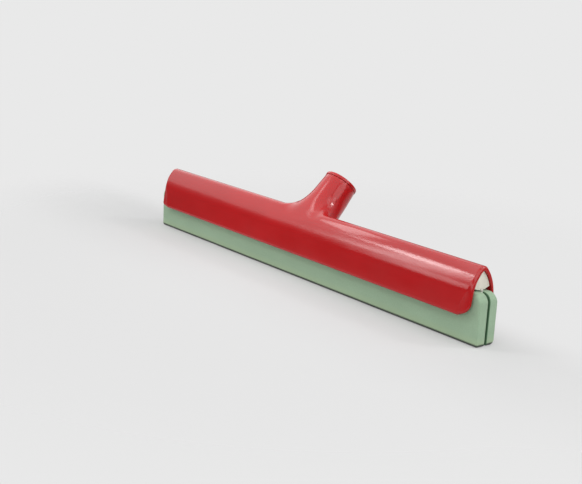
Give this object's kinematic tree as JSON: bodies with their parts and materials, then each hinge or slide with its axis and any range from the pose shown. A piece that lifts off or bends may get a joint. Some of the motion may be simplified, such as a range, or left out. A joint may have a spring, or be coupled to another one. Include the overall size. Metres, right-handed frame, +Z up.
{
  "type": "double-blade squeegee",
  "caption": "Floor squeegee head: arched red shell with a leaning threaded socket, and a sliding cassette that grips two foam blades side by side.",
  "frame": {"origin": "on the floor at mid-length, in the middle of the front blade's working face", "axes": "+X along the blades, +Y from the front blade to the rear blade, the side the socket leans to, and +Z up"},
  "size_m": [0.5, 0.0786, 0.1036],
  "materials": {
    "shell_plastic": "gloss",
    "insert_plastic": "gloss",
    "cassette_plastic": "satin",
    "plug_plastic": "satin",
    "foam_rubber": "matte"
  },
  "bodies": {
    "head": {"shell": "shell_plastic", "neck": "shell_plastic", "socket_insert": "insert_plastic"},
    "cassette": {"carrier": "cassette_plastic", "end_plug_left": "plug_plastic", "end_plug_right": "plug_plastic", "wedge_strip": "cassette_plastic", "front_blade": "foam_rubber", "rear_blade": "foam_rubber"}
  },
  "joints": [
    {"name": "cassette_slide", "type": "slide", "parent": "head", "child": "cassette", "axis": [1, 0, 0], "range_m": [-0.44, 0.44]}
  ]
}
